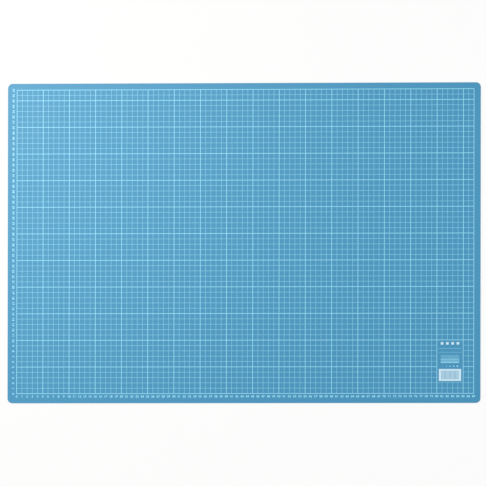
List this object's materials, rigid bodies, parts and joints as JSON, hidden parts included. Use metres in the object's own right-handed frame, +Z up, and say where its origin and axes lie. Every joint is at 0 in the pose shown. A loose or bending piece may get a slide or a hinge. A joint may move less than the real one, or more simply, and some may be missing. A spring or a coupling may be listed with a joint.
{
  "type": "cutting mat",
  "caption": "Thin laminated desk cutting mat: a flat sheet with round corners and a centimetre grid printed on its top face.",
  "frame": {"origin": "centre of the underside, on the surface that the mat lies on", "axes": "+X along the long side, from the ruled zero to the high numbers; +Y along the short side, away from a user who reads the numbers; +Z up, out of the printed face"},
  "size_m": [0.9, 0.6, 0.003],
  "materials": {
    "bottom_cutting_plastic": "fine matte grain",
    "tie_plastic": "matte cut edge",
    "core_plastic": "matte cut edge",
    "top_cutting_plastic": "fine matte grain",
    "print_ink": "satin screen print"
  },
  "bodies": {
    "root": {"bottom_cutting_ply": "bottom_cutting_plastic", "lower_tie_ply": "tie_plastic", "rigid_core_ply": "core_plastic", "upper_tie_ply": "tie_plastic", "top_cutting_ply": "top_cutting_plastic", "bold_grid_print": "print_ink", "bar_patch_print": "print_ink", "dot_gauge_print": "print_ink", "line_gauge_print": "print_ink", "rule_print": "print_ink", "scale_bar_print": "print_ink"}
  },
  "joints": []
}
